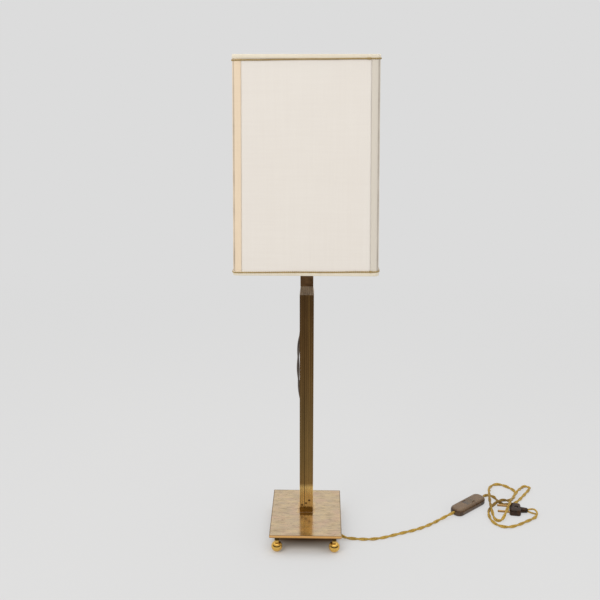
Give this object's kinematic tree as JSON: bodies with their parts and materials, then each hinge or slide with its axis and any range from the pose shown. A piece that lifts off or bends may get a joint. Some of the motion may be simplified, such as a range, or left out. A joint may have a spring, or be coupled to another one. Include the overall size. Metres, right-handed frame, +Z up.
{
  "type": "column table lamp",
  "caption": "Table lamp with a reeded brass column on a rectangular brass plate with ball feet, a tall box fabric shade, and a twisted flex with an in-line switch and a two-pin plug",
  "frame": {"origin": "on the column's axis at the table, midway across the shade", "axes": "+Z up, -Y towards the lamp's front, +X towards the switch and the plug"},
  "size_m": [0.492, 0.2431, 0.732],
  "materials": {
    "brass_plate": "worn satin",
    "brass_polished": "polished",
    "brass_column": "dark patina, polished",
    "brass_shoulder": "satin",
    "brass_neck": "dark patina, satin",
    "steel": "satin",
    "cup_black": "moulded",
    "block_cream": "moulded",
    "rubber_dark": "matte",
    "porcelain": "glazed",
    "solder": "dull",
    "bulb_metal": "satin",
    "bulb_glass": "frosted",
    "shade_fabric": "plain weave",
    "band_fabric": "woven band",
    "hem_fabric": "woven binding",
    "piping_cord": "twisted cord",
    "frame_paint": "white enamel",
    "switch_brown": "moulded, polished",
    "rocker_brown": "moulded",
    "plug_brown": "moulded, polished",
    "pin_nickel": "nickel plated",
    "flex_gold": "braided, twisted pair",
    "flex_dark": "braided, twisted pair"
  },
  "bodies": {
    "stand": {"base_plate": "brass_plate", "ball_feet": "brass_polished", "column_foot": "brass_column", "foot_screws": "steel", "column": "brass_column", "shoulder_cap": "brass_shoulder", "neck_block": "brass_neck", "wiring_cup": "cup_black", "cup_screws": "steel", "terminal_block": "block_cream", "terminal_poles": "brass_polished", "cord_grip": "rubber_dark", "riser_bush": "rubber_dark", "threaded_nipple": "steel", "holder_locknut": "steel", "holder_cap": "brass_polished", "holder_shell": "brass_polished", "holder_insulator": "porcelain", "centre_contact": "brass_polished", "shade_ring": "brass_polished", "bulb_contact": "solder", "bulb_cap": "bulb_metal", "bulb_glass": "bulb_glass", "switch_base": "switch_brown", "switch_cover": "switch_brown", "switch_screws": "steel", "switch_pin": "steel", "switch_contacts": "brass_polished", "plug_base": "plug_brown", "plug_cover": "plug_brown", "plug_pins": "pin_nickel", "plug_screw": "steel", "flex_to_switch": "flex_gold", "flex_to_plug": "flex_gold", "riser_flex": "flex_dark"},
    "shade": {"panel_front": "shade_fabric", "panel_right": "shade_fabric", "panel_back": "shade_fabric", "panel_left": "shade_fabric", "corner_bands": "band_fabric", "hem_bottom": "hem_fabric", "hem_top": "hem_fabric", "piping_bottom": "piping_cord", "piping_top": "piping_cord", "frame_ring_bottom": "frame_paint", "frame_ring_top": "frame_paint", "frame_struts": "frame_paint", "shade_fitter": "frame_paint"},
    "rocker": {"switch_rocker": "rocker_brown"}
  },
  "joints": [
    {"name": "shade_turn", "type": "hinge", "parent": "stand", "child": "shade", "pos_m": [0, 0, 0.4628], "axis": [0, 0, 1], "continuous": true},
    {"name": "rocker_tilt", "type": "hinge", "parent": "stand", "child": "rocker", "pos_m": [0.2702, 0.0615, 0.0096], "axis": [-0.6756, 0.7373, 0], "range_deg": [0, 18]}
  ]
}
